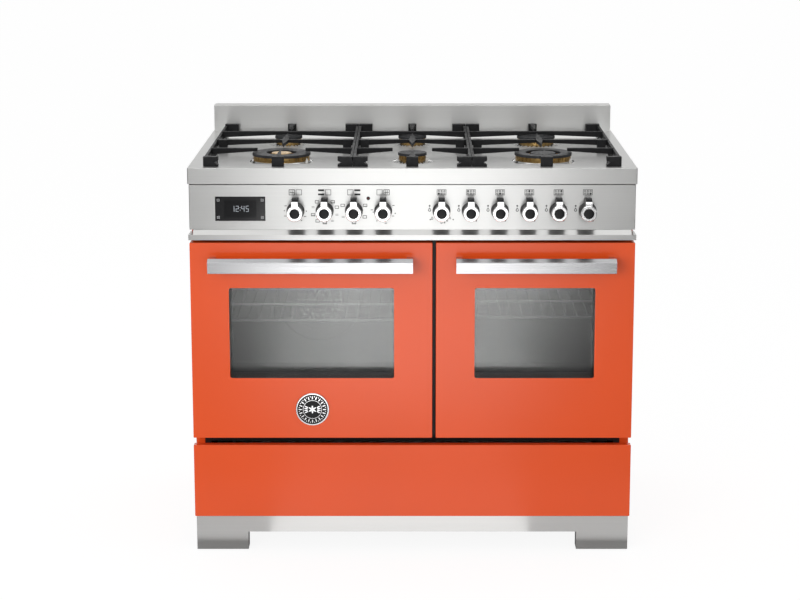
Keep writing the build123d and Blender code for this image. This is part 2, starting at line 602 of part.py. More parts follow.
# ---------------------------------------------------------------- grates
def bar(x, y, tips):
    """A cross bar that thins towards the burner; tips is the half gap left over it."""
    middle = sum(x) / 2
    low, top = GRATE_Z
    for side in (-1, 1):
        root = middle + side * (x[1] - middle - 5)
        end = middle + side * tips
        shape = ((root, low), (root, top), (end, top), (end, top - 7))
        prism(shape, facing(y), 4.5, both=True)


def grate(x, tip, name):
    """One cast pan support: side rails, cross bars, fingers and feet."""
    middle = sum(x) / 2
    low, top = GRATE_Z
    front, back = GRATE_Y
    rest_z = HOB_Z + FOOT_GAP
    with BuildPart() as casting:
        for rail_x, foot_x, mid_x in (
            ((x[0], x[0] + RAIL), (x[0], x[0] + 33), (x[0] + 10, x[0] + 30)),
            ((x[1] - RAIL, x[1]), (x[1] - 33, x[1]), (x[1] - 30, x[1] - 10)),
        ):
            block(rail_x, (front, back), (low + 1, top - 3))
            block(foot_x, (front, front + 18), (rest_z, top))
            block(foot_x, (back - 18, back), (rest_z, top))
            block(mid_x, (BARS_Y[1] - 9, BARS_Y[1] + 9), (PAN_Z + FOOT_GAP, top))
        for bar_y, gap in zip(BARS_Y, (tip, 0, 0)):
            bar(x, bar_y, gap)
        diamond = ((middle, -64), (middle + 8.5, BARS_Y[1]), (middle, 123), (middle - 8.5, BARS_Y[1]))
        prism(diamond, Plane.XY.offset(top - 8), 8)
        for foot_y, half, finger_tip in (((front, front + 14), 13.5, -163), ((back - 14, back), 10, 200)):
            block((middle - half, middle + half), foot_y, (rest_z, top))
            root_y = foot_y[1] if finger_tip < 0 else foot_y[0]
            finger = ((middle - 7, root_y), (middle + 7, root_y), (middle + 1.5, finger_tip), (middle - 1.5, finger_tip))
            prism(finger, Plane.XY.offset(top - 8), 8)
        for foot_x, inner in ((x[0] + 33, -9), (x[1] - 33, 9)):
            notch = ((foot_x, top - 9), (foot_x + inner, top - 13), (foot_x, top - 18))
            prism(notch, facing(front + 18), 18, mode=Mode.SUBTRACT)
        anchors = (x[0] + 18, middle - 5, x[1] - 28)
        for anchor in anchors:
            block((anchor, anchor + 10), (front + 12, FRONT_TIE_Y[1]), (rest_z + 0.6, rest_z + 6))
            block((anchor, anchor + 10), FRONT_TIE_Y, (PAN_Z + 0.6, rest_z + 6))
        block((anchors[0], anchors[-1] + 10), FRONT_TIE_Y, (PAN_Z + 0.6, PAN_Z + 4.2))
        block(x, (back - 10, back - 5), (rest_z, rest_z + 4))
    save(casting.part, name)


grate((-466, -133.5), 55, "grate_left")
grate((-132.5, 132.5), 45, "grate_middle")
grate((133.5, 466), 55, "grate_right")
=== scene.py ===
"""Looks of the freestanding gas range: materials, printed marks, small trim, floor, lights and camera."""

import json
import math

import bmesh
import bpy
from mathutils import Matrix, Vector


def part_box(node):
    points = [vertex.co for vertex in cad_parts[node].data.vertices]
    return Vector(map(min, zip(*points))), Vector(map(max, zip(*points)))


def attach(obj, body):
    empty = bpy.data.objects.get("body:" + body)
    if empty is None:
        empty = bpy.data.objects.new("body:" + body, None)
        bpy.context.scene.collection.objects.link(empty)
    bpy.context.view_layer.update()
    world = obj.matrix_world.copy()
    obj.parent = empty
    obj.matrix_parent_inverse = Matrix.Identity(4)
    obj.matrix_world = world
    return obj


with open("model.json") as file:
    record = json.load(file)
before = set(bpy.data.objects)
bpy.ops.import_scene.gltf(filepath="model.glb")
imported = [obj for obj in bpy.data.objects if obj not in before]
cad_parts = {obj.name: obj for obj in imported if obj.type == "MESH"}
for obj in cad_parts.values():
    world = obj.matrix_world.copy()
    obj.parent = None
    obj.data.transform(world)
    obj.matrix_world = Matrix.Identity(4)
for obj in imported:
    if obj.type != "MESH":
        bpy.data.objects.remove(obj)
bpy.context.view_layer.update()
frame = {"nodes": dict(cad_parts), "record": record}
nodes = frame["nodes"]
MM = 0.001
AMBIENT = 0.62  # what the room sheds on the object
MIRRORED = 0.40  # the room as the object's metal mirrors it
FLOOR_LIFT = 0.82  # how much of the floor's own shading is hidden from the camera
FLOOR_MIRRORED = 0.15  # the floor's brightness as the metal mirrors it

BURNERS = [(x, y) for y in (-126 * MM, 154 * MM) for x in (-300 * MM, 0.0, 300 * MM)]
CAP_RADII = dict(zip(BURNERS, (66.5, 33.0, 65.5, 33.0, 34.0, 46.0)))
PAN_Z = 882 * MM
PAN_HALF_WIDTH = 468 * MM
PAN_Y = (-227 * MM, 263 * MM)
PANEL_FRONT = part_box("control_panel")[0].y
KNOBS = [n for n in nodes if n.startswith("knob_")]
DOORS = ("left", "right")


# ---------------------------------------------------------------- materials
def new_material(name, color, roughness, metallic=0.0, **sockets):
    """A Principled material; extra sockets are given by their names with underscores."""
    material = bpy.data.materials.new(name)
    material.use_nodes = True
    shader = material.node_tree.nodes["Principled BSDF"]
    shader.inputs["Base Color"].default_value = (*color, 1.0)
    shader.inputs["Roughness"].default_value = roughness
    shader.inputs["Metallic"].default_value = metallic
    for key, value in sockets.items():
        shader.inputs[key.replace("_", " ")].default_value = value
    return material


def node(material, kind, **values):
    """Adds a node; values with a matching input set that input, the others set attributes."""
    made = material.node_tree.nodes.new(kind)
    for key, value in values.items():
        title = key.replace("_", " ")
        if title in made.inputs:
            made.inputs[title].default_value = value
        else:
            setattr(made, key, value)
    return made


def link(material, source, target):
    material.node_tree.links.new(source, target)


def noise(material, scale, stretch=(1, 1, 1), detail=3.0):
    """Noise in object space, with features stretched along each axis; returns its value socket."""
    where = node(material, "ShaderNodeTexCoord")
    mapping = node(material, "ShaderNodeMapping")
    mapping.inputs["Scale"].default_value = stretch
    texture = node(material, "ShaderNodeTexNoise", Scale=scale, Detail=detail)
    link(material, where.outputs["Object"], mapping.inputs["Vector"])
    link(material, mapping.outputs["Vector"], texture.inputs["Vector"])
    return texture.outputs["Fac"]


def spread(material, value, low, high):
    """Maps a 0.3 to 0.7 noise value to low to high."""
    ramp = node(material, "ShaderNodeMapRange")
    ramp.inputs["From Min"].default_value = 0.3
    ramp.inputs["From Max"].default_value = 0.7
    ramp.inputs["To Min"].default_value = low
    ramp.inputs["To Max"].default_value = high
    link(material, value, ramp.inputs["Value"])
    return ramp.outputs["Result"]


def shade(material, value, dark, light):
    """Drives the base colour between two colours."""
    mix = node(material, "ShaderNodeMix", data_type="RGBA")
    mix.inputs[6].default_value = (*dark, 1.0)
    mix.inputs[7].default_value = (*light, 1.0)
    link(material, spread(material, value, 0.0, 1.0), mix.inputs[0])
    link(material, mix.outputs[2], material.node_tree.nodes["Principled BSDF"].inputs["Base Color"])


def rough(material, value, low, high):
    shader = material.node_tree.nodes["Principled BSDF"]
    link(material, spread(material, value, low, high), shader.inputs["Roughness"])


def bump(material, value, strength, distance):
    """Bump from a value, distance in metres."""
    shader = material.node_tree.nodes["Principled BSDF"]
    made = node(material, "ShaderNodeBump", Strength=strength, Distance=distance)
    link(material, value, made.inputs["Height"])
    link(material, made.outputs["Normal"], shader.inputs["Normal"])


def tinted(color, by):
    return tuple(c * by for c in color)


def brushed_steel(name, color, low, high, grain=(3, 900, 900)):
    """Satin stainless steel brushed along X, so that its gloss spreads across the grain."""
    made = new_material(name, color, (low + high) / 2, 1.0, Anisotropic=0.8, Anisotropic_Rotation=0.25)
    along = node(made, "ShaderNodeCombineXYZ", X=1.0)
    link(made, along.outputs["Vector"], made.node_tree.nodes["Principled BSDF"].inputs["Tangent"])
    grain_value = noise(made, 1.0, grain, 4.0)
    rough(made, grain_value, low, high)
    shade(made, noise(made, 1.0, (1.5, 500, 500), 2.0), tinted(color, 0.98), tinted(color, 1.012))
    bump(made, grain_value, 0.04, 0.00002)
    return made


def gloss_enamel(name, color, roughness, index=1.5):
    """Fired or sprayed enamel, a little wavy over long distances."""
    made = new_material(name, color, roughness, IOR=index)
    shade(made, noise(made, 4.0, detail=1.0), tinted(color, 0.98), tinted(color, 1.02))
    rough(made, noise(made, 3.0, detail=1.0), roughness * 0.95, roughness * 1.06)
    bump(made, noise(made, 7.0, detail=0.0), 0.04, 0.0005)
    return made


def speckled_enamel(name, color, fleck, roughness):
    """Oven enamel: dark ground with fine light flecks."""
    made = new_material(name, color, roughness)
    shade(made, noise(made, 900.0, detail=0.0), color, fleck)
    bump(made, noise(made, 160.0), 0.012, 0.0001)
    return made


def cast(name, color, sheen):
    """Matt enamelled cast iron with a pebbled skin."""
    made = new_material(name, color, 0.5, Specular_IOR_Level=sheen)
    shade(made, noise(made, 45.0), tinted(color, 0.75), tinted(color, 1.35))
    rough(made, noise(made, 120.0), 0.38, 0.62)
    bump(made, noise(made, 700.0, detail=2.0), 0.35, 0.0002)
    return made


def polished(name, color, low, high):
    """Bright plated metal with faint wipe marks."""
    made = new_material(name, color, low, 1.0)
    rough(made, noise(made, 18.0, (0.3, 30, 30)), low, high)
    bump(made, noise(made, 60.0), 0.004, 0.0001)
    return made


def moulded(name, color, roughness):
    """Moulded plastic or rubber with a fine grain."""
    made = new_material(name, color, roughness)
    rough(made, noise(made, 80.0), roughness * 0.85, roughness * 1.15)
    bump(made, noise(made, 1500.0, detail=1.0), 0.12, 0.00005)
    return made


def spangled(name, color):
    """Galvanised sheet: crystals of slightly different grey."""
    made = new_material(name, color, 0.42, 1.0)
    where = node(made, "ShaderNodeTexCoord")
    cells = node(made, "ShaderNodeTexVoronoi", Scale=70.0)
    link(made, where.outputs["Object"], cells.inputs["Vector"])
    crystal = node(made, "ShaderNodeSeparateColor")
    link(made, cells.outputs["Color"], crystal.inputs["Color"])
    shade(made, crystal.outputs["Red"], tinted(color, 0.93), tinted(color, 1.05))
    rough(made, crystal.outputs["Green"], 0.38, 0.48)
    return made


def brass(name, color, low, high):
    made = new_material(name, color, low, 1.0)
    shade(made, noise(made, 70.0), tinted(color, 0.62), tinted(color, 1.08))
    rough(made, noise(made, 150.0), low, high)
    bump(made, noise(made, 900.0), 0.08, 0.0001)
    return made


def window_pane(name, color, alpha, roughness, index, mirror):
    """Window pane: what lies behind shows through, under a reflection of the room."""
    made = new_material(name, color, roughness, mirror, Alpha=alpha, IOR=index)
    rough(made, noise(made, 6.0), roughness, roughness * 1.25)
    return made


STEEL = (0.62, 0.62, 0.61)
materials = {
    "stainless": brushed_steel("stainless", STEEL, 0.30, 0.34),
    "orange_enamel": gloss_enamel("orange_enamel", (0.83, 0.090, 0.012), 0.25, index=1.5),
    "black_enamel": gloss_enamel("black_enamel", (0.012, 0.012, 0.013), 0.38),
    "oven_enamel": speckled_enamel("oven_enamel", (0.076, 0.078, 0.082), (0.098, 0.098, 0.103), 0.42),
    "galvanised": spangled("galvanised", (0.52, 0.53, 0.54)),
    "tinted_glass": window_pane("tinted_glass", (0.33, 0.335, 0.33), 0.44, 0.18, 1.5, 1.0),
    "display_glass": gloss_enamel("display_glass", (0.010, 0.010, 0.011), 0.10),
    "red_lens": moulded("red_lens", (0.09, 0.003, 0.003), 0.3),
    "chrome_bar": polished("chrome_bar", (0.52, 0.52, 0.53), 0.22, 0.28),
    "knob_metal": polished("knob_metal", (0.90, 0.90, 0.90), 0.14, 0.22),
    "badge_chrome": polished("badge_chrome", (0.80, 0.80, 0.81), 0.10, 0.16),
    "cast_iron": cast("cast_iron", (0.006, 0.006, 0.007), 0.3),
    "burner_brass": brass("burner_brass", (0.72, 0.47, 0.18), 0.24, 0.40),
    "burner_cap": cast("burner_cap", (0.030, 0.031, 0.034), 0.4),
    "rack_wire": new_material("rack_wire", (0.92, 0.92, 0.92), 0.25, 0.35),
    "tap_brass": brass("tap_brass", (0.66, 0.50, 0.25), 0.30, 0.45),
    "zinc_steel": spangled("zinc_steel", (0.60, 0.61, 0.62)),
    "fan_aluminium": brushed_steel("fan_aluminium", (0.62, 0.62, 0.63), 0.3, 0.45),
    "motor_black": moulded("motor_black", (0.02, 0.02, 0.02), 0.55),
    "switch_plastic": moulded("switch_plastic", (0.03, 0.03, 0.032), 0.5),
    "seal_rubber": moulded("seal_rubber", (0.016, 0.016, 0.016), 0.7),
    "heater_steel": brushed_steel("heater_steel", (0.24, 0.23, 0.22), 0.4, 0.6),
    "foot_steel": polished("foot_steel", (0.5, 0.5, 0.51), 0.3, 0.45),
}
pan_steel = brushed_steel("pan_steel", (0.60, 0.60, 0.59), 0.13, 0.19)
pan_steel.node_tree.nodes["Principled BSDF"].inputs["Anisotropic"].default_value = 0.3
clear_glass = window_pane("clear_glass", (0.02, 0.02, 0.02), 0.10, 0.06, 1.3, 0.0)
knob_black = moulded("knob_black", (0.006, 0.006, 0.007), 0.42)
knob_black.node_tree.nodes["Principled BSDF"].inputs["Specular IOR Level"].default_value = 0.25
insert_black = new_material("insert_black", (0.008, 0.008, 0.009), 0.35, Specular_IOR_Level=0.25)
print_dark = new_material("print_dark", (0.015, 0.015, 0.015), 0.6)
print_grey = new_material("print_grey", (0.012, 0.012, 0.012), 0.6)
print_soft = new_material("print_soft", (0.16, 0.16, 0.16), 0.6)
print_pale = new_material("print_pale", (0.55, 0.56, 0.57), 0.5)
screen_dark = gloss_enamel("screen_dark", (0.004, 0.004, 0.005), 0.08)
digit_glow = new_material("digit_glow", (0.5, 0.54, 0.58), 0.4,
                          Emission_Color=(0.8, 0.88, 1.0, 1.0), Emission_Strength=0.16)
ceramic = moulded("ceramic", (0.82, 0.80, 0.76), 0.25)
slot_of = {entry["node"]: entry["material_slot"] for entry in frame["record"]["subparts"]}


def soften(obj, width, segments=2):
    """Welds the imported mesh's split edges, then rounds its sharp ones."""
    obj.modifiers.new("weld", "WELD").merge_threshold = 0.00001
    bevel = obj.modifiers.new("bevel", "BEVEL")
    bevel.width = width
    bevel.segments = segments
    bevel.limit_method = "ANGLE"
    bevel.angle_limit = math.radians(32)
    obj.modifiers.new("flat_faces", "WEIGHTED_NORMAL").weight = 100


SOFT_EDGES = {
    "grate_left": 1.6, "grate_middle": 1.6, "grate_right": 1.6,
    "door_left_handle": 0.9, "door_right_handle": 0.9, "plinth": 0.5, "lower_trim": 0.5,
    "display_module": 0.3, "leveling_feet": 0.6, "terminal_box": 0.5,
}
SOFT_EDGES.update({name: 0.7 for name in KNOBS})

for name, obj in nodes.items():
    obj.data.materials.clear()
    obj.data.materials.append(materials[slot_of[name]])
    if name in SOFT_EDGES:
        soften(obj, SOFT_EDGES[name] * MM)

# knobs: the front plate and pointer face are bright and the pointer's tip is black; the pointer's side faces
# are painted black, a painted shade and painted dark reflection on the bright pointer
POINTER_HALF_WIDTH = 7.2 * MM
POINTER_REACH = 13 * MM
TIP_LENGTH = 4.6 * MM
PLATE_DEPTH = 7 * MM
for name in KNOBS:
    mesh = nodes[name].data
    mesh.materials.append(knob_black)
    low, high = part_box(name)
    middle = (low.x + high.x) / 2
    for polygon in mesh.polygons:
        spot, facing = polygon.center, polygon.normal
        on_pointer = abs(spot.x - middle) < POINTER_HALF_WIDTH and spot.z > high.z - POINTER_REACH
        behind = spot.y > low.y + PLATE_DEPTH
        tip = spot.z > high.z - TIP_LENGTH
        # painted shade and painted dark reflection: the pointer's sideways faces take the black material
        painted_shade_flank = on_pointer and abs(facing.x) > 0.9
        polygon.material_index = 1 if behind or tip or painted_shade_flank else 0

# cooktop: the pressed pan inside the rim has a smoother finish than the rim
cooktop = nodes["cooktop"].data
cooktop.materials.append(pan_steel)
rim_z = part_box("cooktop")[1].z
for polygon in cooktop.polygons:
    spot = polygon.center
    inside = abs(spot.x) < PAN_HALF_WIDTH and PAN_Y[0] < spot.y < PAN_Y[1]
    sunk = rim_z - 7 * MM < spot.z < rim_z - 0.5 * MM
    polygon.material_index = 1 if inside and sunk else 0

# burner caps: the heart of the front left burner is bare brass
caps = nodes["burner_caps"].data
caps.materials.append(materials["burner_brass"])
front_left = Vector(BURNERS[0])
for polygon in caps.polygons:
    heart = (polygon.center.xy - front_left).length < 30 * MM
    polygon.material_index = 1 if heart else 0

# the outer pane of each door is clear, the inner one is smoked
for side in DOORS:
    mesh = nodes[f"door_{side}_glass"].data
    mesh.materials.append(clear_glass)
    low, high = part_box(f"door_{side}_glass")
    for polygon in mesh.polygons:
        polygon.material_index = 1 if polygon.center.y < (low.y + high.y) / 2 else 0


# ---------------------------------------------------------------- mesh helpers
def place(name, mesh, material, body):
    """Adds a mesh as a piece that rides on a body."""
    mesh.materials.append(material)
    piece = bpy.data.objects.new(name, mesh)
    bpy.context.scene.collection.objects.link(piece)
    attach(piece, body)
    return piece


def slab(bm, x, z, y, rise):
    """A raised plate on a front-facing surface at y, over spans x and z."""
    corners = [(x[0], z[0]), (x[1], z[0]), (x[1], z[1]), (x[0], z[1])]
    outline(bm, corners, y, rise)


def outline(bm, points, y, rise):
    """A raised closed polygon on a front-facing surface at y; points run counter-clockwise from the front."""
    front = [bm.verts.new((px, y - rise, pz)) for px, pz in points]
    back = [bm.verts.new((px, y, pz)) for px, pz in points]
    bm.faces.new(front)
    bm.faces.new(back[::-1])
    count = len(points)
    for i in range(count):
        j = (i + 1) % count
        bm.faces.new((front[j], front[i], back[i], back[j]))


def box_line(bm, x, z, y, width, rise):
    """A rectangular outline of the given line width."""
    slab(bm, x, (z[0], z[0] + width), y, rise)
    slab(bm, x, (z[1] - width, z[1]), y, rise)
    inner = (z[0] + width, z[1] - width)
    slab(bm, (x[0], x[0] + width), inner, y, rise)
    slab(bm, (x[1] - width, x[1]), inner, y, rise)


def disc(bm, x, z, radius, y, rise, steps=20):
    ring = [(x + radius * math.cos(2 * math.pi * i / steps), z + radius * math.sin(2 * math.pi * i / steps))
            for i in range(steps)]
    outline(bm, ring, y, rise)


def mesh_from(name, build):
    """A mesh made by a function that fills a bmesh."""
    bm = bmesh.new()
    build(bm)
    bmesh.ops.recalc_face_normals(bm, faces=bm.faces)
    mesh = bpy.data.meshes.new(name)
    bm.to_mesh(mesh)
    bm.free()
    return mesh


def turned(name, profile, centre, axis, steps=40):
    """A turned shape: profile points are (radius, height along axis) from centre."""
    def build(bm):
        turn = Vector((0, 0, 1)).rotation_difference(Vector(axis)).to_matrix().to_4x4()
        verts = [bm.verts.new((r, 0, h)) for r, h in profile]
        edges = [bm.edges.new(pair) for pair in zip(verts, verts[1:])]
        bmesh.ops.spin(bm, geom=verts + edges, cent=(0, 0, 0), axis=(0, 0, 1), angle=2 * math.pi,
                       steps=steps, use_duplicate=False)
        bmesh.ops.remove_doubles(bm, verts=bm.verts, dist=1e-6)
        bm.transform(Matrix.Translation(centre) @ turn)
    mesh = mesh_from(name, build)
    for polygon in mesh.polygons:
        polygon.use_smooth = True
    mesh.set_sharp_from_angle(angle=math.radians(40))
    return mesh


# ---------------------------------------------------------------- printed marks on the control panel
KNOB_AXIS_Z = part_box("spindle_1")[0].z + 4 * MM
RISE = 0.12 * MM
SYMBOL_Z = (829 * MM, 842 * MM)
OVEN_KNOBS = ("knob_thermostat_left", "knob_function_left", "knob_function_right", "knob_thermostat_right")
BURNER_KNOBS = tuple(f"knob_burner_{i}" for i in range(1, 7))


def knob_x(name):
    low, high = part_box(name)
    return (low.x + high.x) / 2


def symbol_span(index, half):
    """Left and right edge of one box of the pair above an oven knob."""
    start = knob_x(OVEN_KNOBS[index]) + (-14.5 + 15.5 * half) * MM
    return start, start + 13.5 * MM


def plain_boxes(bm):
    """Above each oven knob, a pair of boxes; the empty one is the oven it doesn't serve."""
    for index, half in ((0, 1), (1, 1), (2, 0), (3, 0)):
        box_line(bm, symbol_span(index, half), SYMBOL_Z, PANEL_FRONT, 1.3 * MM, RISE)


def crossed_boxes(bm):
    """The thermostats' own oven box is crossed."""
    for index, half in ((0, 0), (3, 1)):
        start, end = symbol_span(index, half)
        box_line(bm, (start, end), SYMBOL_Z, PANEL_FRONT, 1.3 * MM, RISE)
        for third in (4.4, 8.2):
            slab(bm, (start + third * MM, start + (third + 1.0) * MM),
                 (SYMBOL_Z[0] + 2 * MM, SYMBOL_Z[1] - 2 * MM), PANEL_FRONT, RISE)
        bar = (SYMBOL_Z[0] + 5.5 * MM, SYMBOL_Z[0] + 6.8 * MM)
        slab(bm, (start + 2 * MM, end - 2 * MM), bar, PANEL_FRONT, RISE)


def heavy_bars(bm):
    """The function knobs' own oven box is two heavy bars, top and bottom."""
    for index, half in ((1, 0), (2, 1)):
        span = symbol_span(index, half)
        slab(bm, span, (SYMBOL_Z[1] - 3.8 * MM, SYMBOL_Z[1] + 0.2 * MM), PANEL_FRONT, RISE * 1.5)
        slab(bm, span, (SYMBOL_Z[0] - 0.2 * MM, SYMBOL_Z[0] + 3.8 * MM), PANEL_FRONT, RISE * 1.5)


def beside(name, right, up):
    """A point beside a knob, in millimetres from the middle of its ring of marks."""
    return knob_x(name) + right * MM, KNOB_AXIS_Z + (up - 6) * MM


MODES_LEFT = ((-17, 26), (18, 26), (-26, 14), (27, 14), (-26, -3), (27, -3), (-16, -17), (0, -21), (17, -17))
MODES_RIGHT = ((-25, 18), (25, 18), (-24, -8), (24, -8), (0, -21))


def function_icons(bm):
    """Small cooking-mode boxes round the two function knobs."""
    width, height = 4.6 * MM, 3.4 * MM
    for name, spots in (("knob_function_left", MODES_LEFT), ("knob_function_right", MODES_RIGHT)):
        for number, (right, up) in enumerate(spots):
            x, z = beside(name, right, up)
            if number % 3 != 2:
                box_line(bm, (x - width, x + width), (z - height, z + height), PANEL_FRONT, 1.2 * MM, RISE)
            for row in range(number % 3):
                level = z + (row * 2.6 - 1.3) * MM
                bar = (level - 0.4 * MM, level + 0.4 * MM)
                slab(bm, (x - width * 0.7, x + width * 0.7), bar, PANEL_FRONT, RISE)


TICKS_LEFT = ((-22, 17), (-25, 6), (-23, -6), (24, 5), (21, -7), (13, -16))
TICKS_RIGHT = ((-25, 8), (-22, 3), (23, 18), (27, 0), (22, -6), (-14, -17), (6, -22))


def scale_ticks(bm):
    """Temperature ticks and dots round the thermostat knobs."""
    for name, spots in (("knob_thermostat_left", TICKS_LEFT), ("knob_thermostat_right", TICKS_RIGHT)):
        for number, (right, up) in enumerate(spots):
            x, z = beside(name, right, up)
            if number % 2:
                disc(bm, x, z, 1.3 * MM, PANEL_FRONT, RISE, 12)
            else:
                slab(bm, (x - 2.6 * MM, x + 2.6 * MM), (z - 0.7 * MM, z + 0.7 * MM), PANEL_FRONT, RISE)


def burner_marks(bm):
    """Above each gas knob, a map of the six burners; beside it, an off dot and flames."""
    chosen_rings = ((0, 1), (0, 0), (1, 1), (1, 0), (2, 0), (2, 1))
    for name, chosen in zip(BURNER_KNOBS, chosen_rings):
        x0, z0 = knob_x(name), sum(SYMBOL_Z) / 2
        box_line(bm, (x0 - 10.5 * MM, x0 + 10.5 * MM), SYMBOL_Z, PANEL_FRONT, 1.0 * MM, RISE)
        for column in range(3):
            for row in range(2):
                x, z = x0 + (column - 1) * 6.2 * MM, z0 + (0.5 - row) * 5.6 * MM
                if (column, row) == chosen:
                    disc(bm, x, z, 2.3 * MM, PANEL_FRONT, RISE * 1.4, 14)
                else:
                    box_line(bm, (x - 1.8 * MM, x + 1.8 * MM), (z - 1.8 * MM, z + 1.8 * MM), PANEL_FRONT,
                             0.9 * MM, RISE)
        disc(bm, *beside(name, -26.5, 17), 2.0 * MM, PANEL_FRONT, RISE, 14)
        flame(bm, *beside(name, -26.5, 7.5), 8.0 * MM)
        disc(bm, *beside(name, 12.5, -17), 1.6 * MM, PANEL_FRONT, RISE, 12)
    wok = BURNER_KNOBS[0]
    for right, up, size in ((-21, -12, 6.0), (0, -21, 6.0), (19, -11, 5.0)):
        flame(bm, *beside(wok, right, up), size * MM)
    for right, up in ((-25, -14), (7, -21), (26, -14)):
        disc(bm, *beside(wok, right, up), 1.5 * MM, PANEL_FRONT, RISE, 12)


def flame(bm, x, z, size):
    """A hollow drop-shaped flame mark."""
    outer, inner = [], []
    for i in range(16):
        angle = 2 * math.pi * i / 16 - math.pi / 2
        up = math.sin(angle)
        across = 0.42 * size * math.cos(angle) * (1.0 - 0.7 * max(up, 0.0))
        along = (0.75 if up > 0 else 0.45) * size * up
        outer.append((x + across, z + along))
        inner.append((x + across * 0.55, z + along * 0.6))
    for i in range(16):
        j = (i + 1) % 16
        outline(bm, [outer[i], outer[j], inner[j], inner[i]], PANEL_FRONT, RISE)


for name, build, material in (
    ("print_plain_boxes", plain_boxes, print_soft),
    ("print_crossed_boxes", crossed_boxes, print_grey),
    ("print_heavy_bars", heavy_bars, print_dark),
    ("print_function_icons", function_icons, print_grey),
    ("print_scale_ticks", scale_ticks, print_grey),
    ("print_burner_marks", burner_marks, print_grey),
):
    place(name, mesh_from(name, build), material, "chassis")

# ---------------------------------------------------------------- display
SCREEN_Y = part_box("display_module")[0].y
screen_x = (-439 * MM, -327 * MM)
screen_z = (771 * MM, 826 * MM)
SEGMENTS = {"1": "bc", "2": "abged", "4": "fgbc", "5": "afgcd"}


def digit(bm, char, x, z, width, height, line):
    """One seven-segment digit, from its lower left corner."""
    half = height / 2
    bars = {
        "a": ((x, x + width), (z + height - line, z + height)),
        "d": ((x, x + width), (z, z + line)),
        "g": ((x, x + width), (z + half - line / 2, z + half + line / 2)),
        "b": ((x + width - line, x + width), (z + half, z + height)),
        "c": ((x + width - line, x + width), (z, z + half)),
        "e": ((x, x + line), (z, z + half)),
        "f": ((x, x + line), (z + half, z + height)),
    }
    for key in SEGMENTS[char]:
        slab(bm, *bars[key], SCREEN_Y - 0.1 * MM, RISE)


def screen_area(bm):
    slab(bm, (screen_x[0] + 20 * MM, screen_x[1] - 20 * MM), (screen_z[0] + 8 * MM, screen_z[1] - 8 * MM),
         SCREEN_Y, 0.1 * MM)


def clock(bm):
    start = (screen_x[0] + screen_x[1]) / 2 - 19.5 * MM
    for index, char in enumerate("1245"):
        offset = index * 9.6 * MM + (3.2 * MM if index > 1 else 0)
        digit(bm, char, start + offset, 792 * MM, 6.2 * MM, 13 * MM, 0.9 * MM)
    for level in (795.5 * MM, 801.5 * MM):
        disc(bm, start + 19.2 * MM, level, 0.8 * MM, SCREEN_Y - 0.1 * MM, RISE, 10)


def touch_marks(bm):
    for x in (screen_x[0] + 7 * MM, screen_x[1] - 7 * MM):
        for z in (779 * MM, 818 * MM):
            box_line(bm, (x - 2.8 * MM, x + 2.8 * MM), (z - 2.8 * MM, z + 2.8 * MM), SCREEN_Y, 0.7 * MM, RISE)
            slab(bm, (x - 1.4 * MM, x + 1.4 * MM), (z - 0.4 * MM, z + 0.4 * MM), SCREEN_Y, RISE)


place("display_screen", mesh_from("display_screen", screen_area), screen_dark, "chassis")
place("display_clock", mesh_from("display_clock", clock), digit_glow, "chassis")
place("display_touch_marks", mesh_from("display_touch_marks", touch_marks), print_pale, "chassis")

# ---------------------------------------------------------------- knob inserts
for name in KNOBS:
    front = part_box(name)[0].y
    button = [(0, 1.3 * MM), (6 * MM, 1.2 * MM), (10 * MM, 0.9 * MM), (11.4 * MM, 0.4 * MM),
              (11.6 * MM, -0.4 * MM)]
    mesh = turned(f"{name}_insert", button, (knob_x(name), front, KNOB_AXIS_Z), (0, -1, 0), 48)
    place(f"{name}_insert", mesh, insert_black, name)

lamp_low, lamp_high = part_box("indicator_lamp")
bezel = [(2.4 * MM, 0), (2.5 * MM, 0.9 * MM), (3.6 * MM, 0.9 * MM), (4.0 * MM, 0.5 * MM), (4.0 * MM, 0)]
lamp_spot = ((lamp_low.x + lamp_high.x) / 2, PANEL_FRONT, (lamp_low.z + lamp_high.z) / 2)
place("lamp_bezel", turned("lamp_bezel", bezel, lamp_spot, (0, -1, 0), 28), knob_black, "chassis")

# ---------------------------------------------------------------- badge
badge_low, badge_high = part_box("badge")
BADGE_X, BADGE_Z = (badge_low.x + badge_high.x) / 2, (badge_low.z + badge_high.z) / 2
BADGE_FACE = badge_low.y - 0.35 * MM


def leaf(bm, distance, turn, length, width, rise):
    """A leaf-shaped relief that points outwards, distances in millimetres."""
    points = []
    for i in range(20):
        angle = 2 * math.pi * i / 20
        along = distance + length / 2 * math.cos(angle)
        across = width / 2 * math.sin(angle) * (1.0 - 0.35 * math.cos(angle))
        points.append((BADGE_X + (along * math.cos(turn) - across * math.sin(turn)) * MM,
                       BADGE_Z + (along * math.sin(turn) + across * math.cos(turn)) * MM))
    outline(bm, points, BADGE_FACE, rise * MM)


def rosette(bm):
    """A leaf rosette with two wings, a thin ring and a border of leaves and beads."""
    for petal in range(6):
        leaf(bm, 5.6, math.pi * petal / 3 + math.pi / 6, 7.5, 3.6, 0.5)
    disc(bm, BADGE_X, BADGE_Z, 2.0 * MM, BADGE_FACE, 0.7 * MM)
    for side in (0, math.pi):
        for lean in (-0.42, -0.14, 0.14, 0.42):
            leaf(bm, 15.0, side + lean, 9.0, 2.6, 0.4)
    steps = 72
    for i in range(steps):
        a, b = (2 * math.pi * (i + k) / steps for k in (0, 1))
        quad = [(BADGE_X + r * MM * math.cos(t), BADGE_Z + r * MM * math.sin(t))
                for r, t in ((20.6, a), (21.5, a), (21.5, b), (20.6, b))]
        outline(bm, quad, BADGE_FACE, 0.35 * MM)
    for i in range(20):
        turn = 2 * math.pi * i / 20
        leaf(bm, 27.6, turn, 8.2, 2.3, 0.4)
        turn += math.pi / 20
        disc(bm, BADGE_X + 30.2 * MM * math.cos(turn), BADGE_Z + 30.2 * MM * math.sin(turn), 1.1 * MM,
             BADGE_FACE, 0.35 * MM, 12)


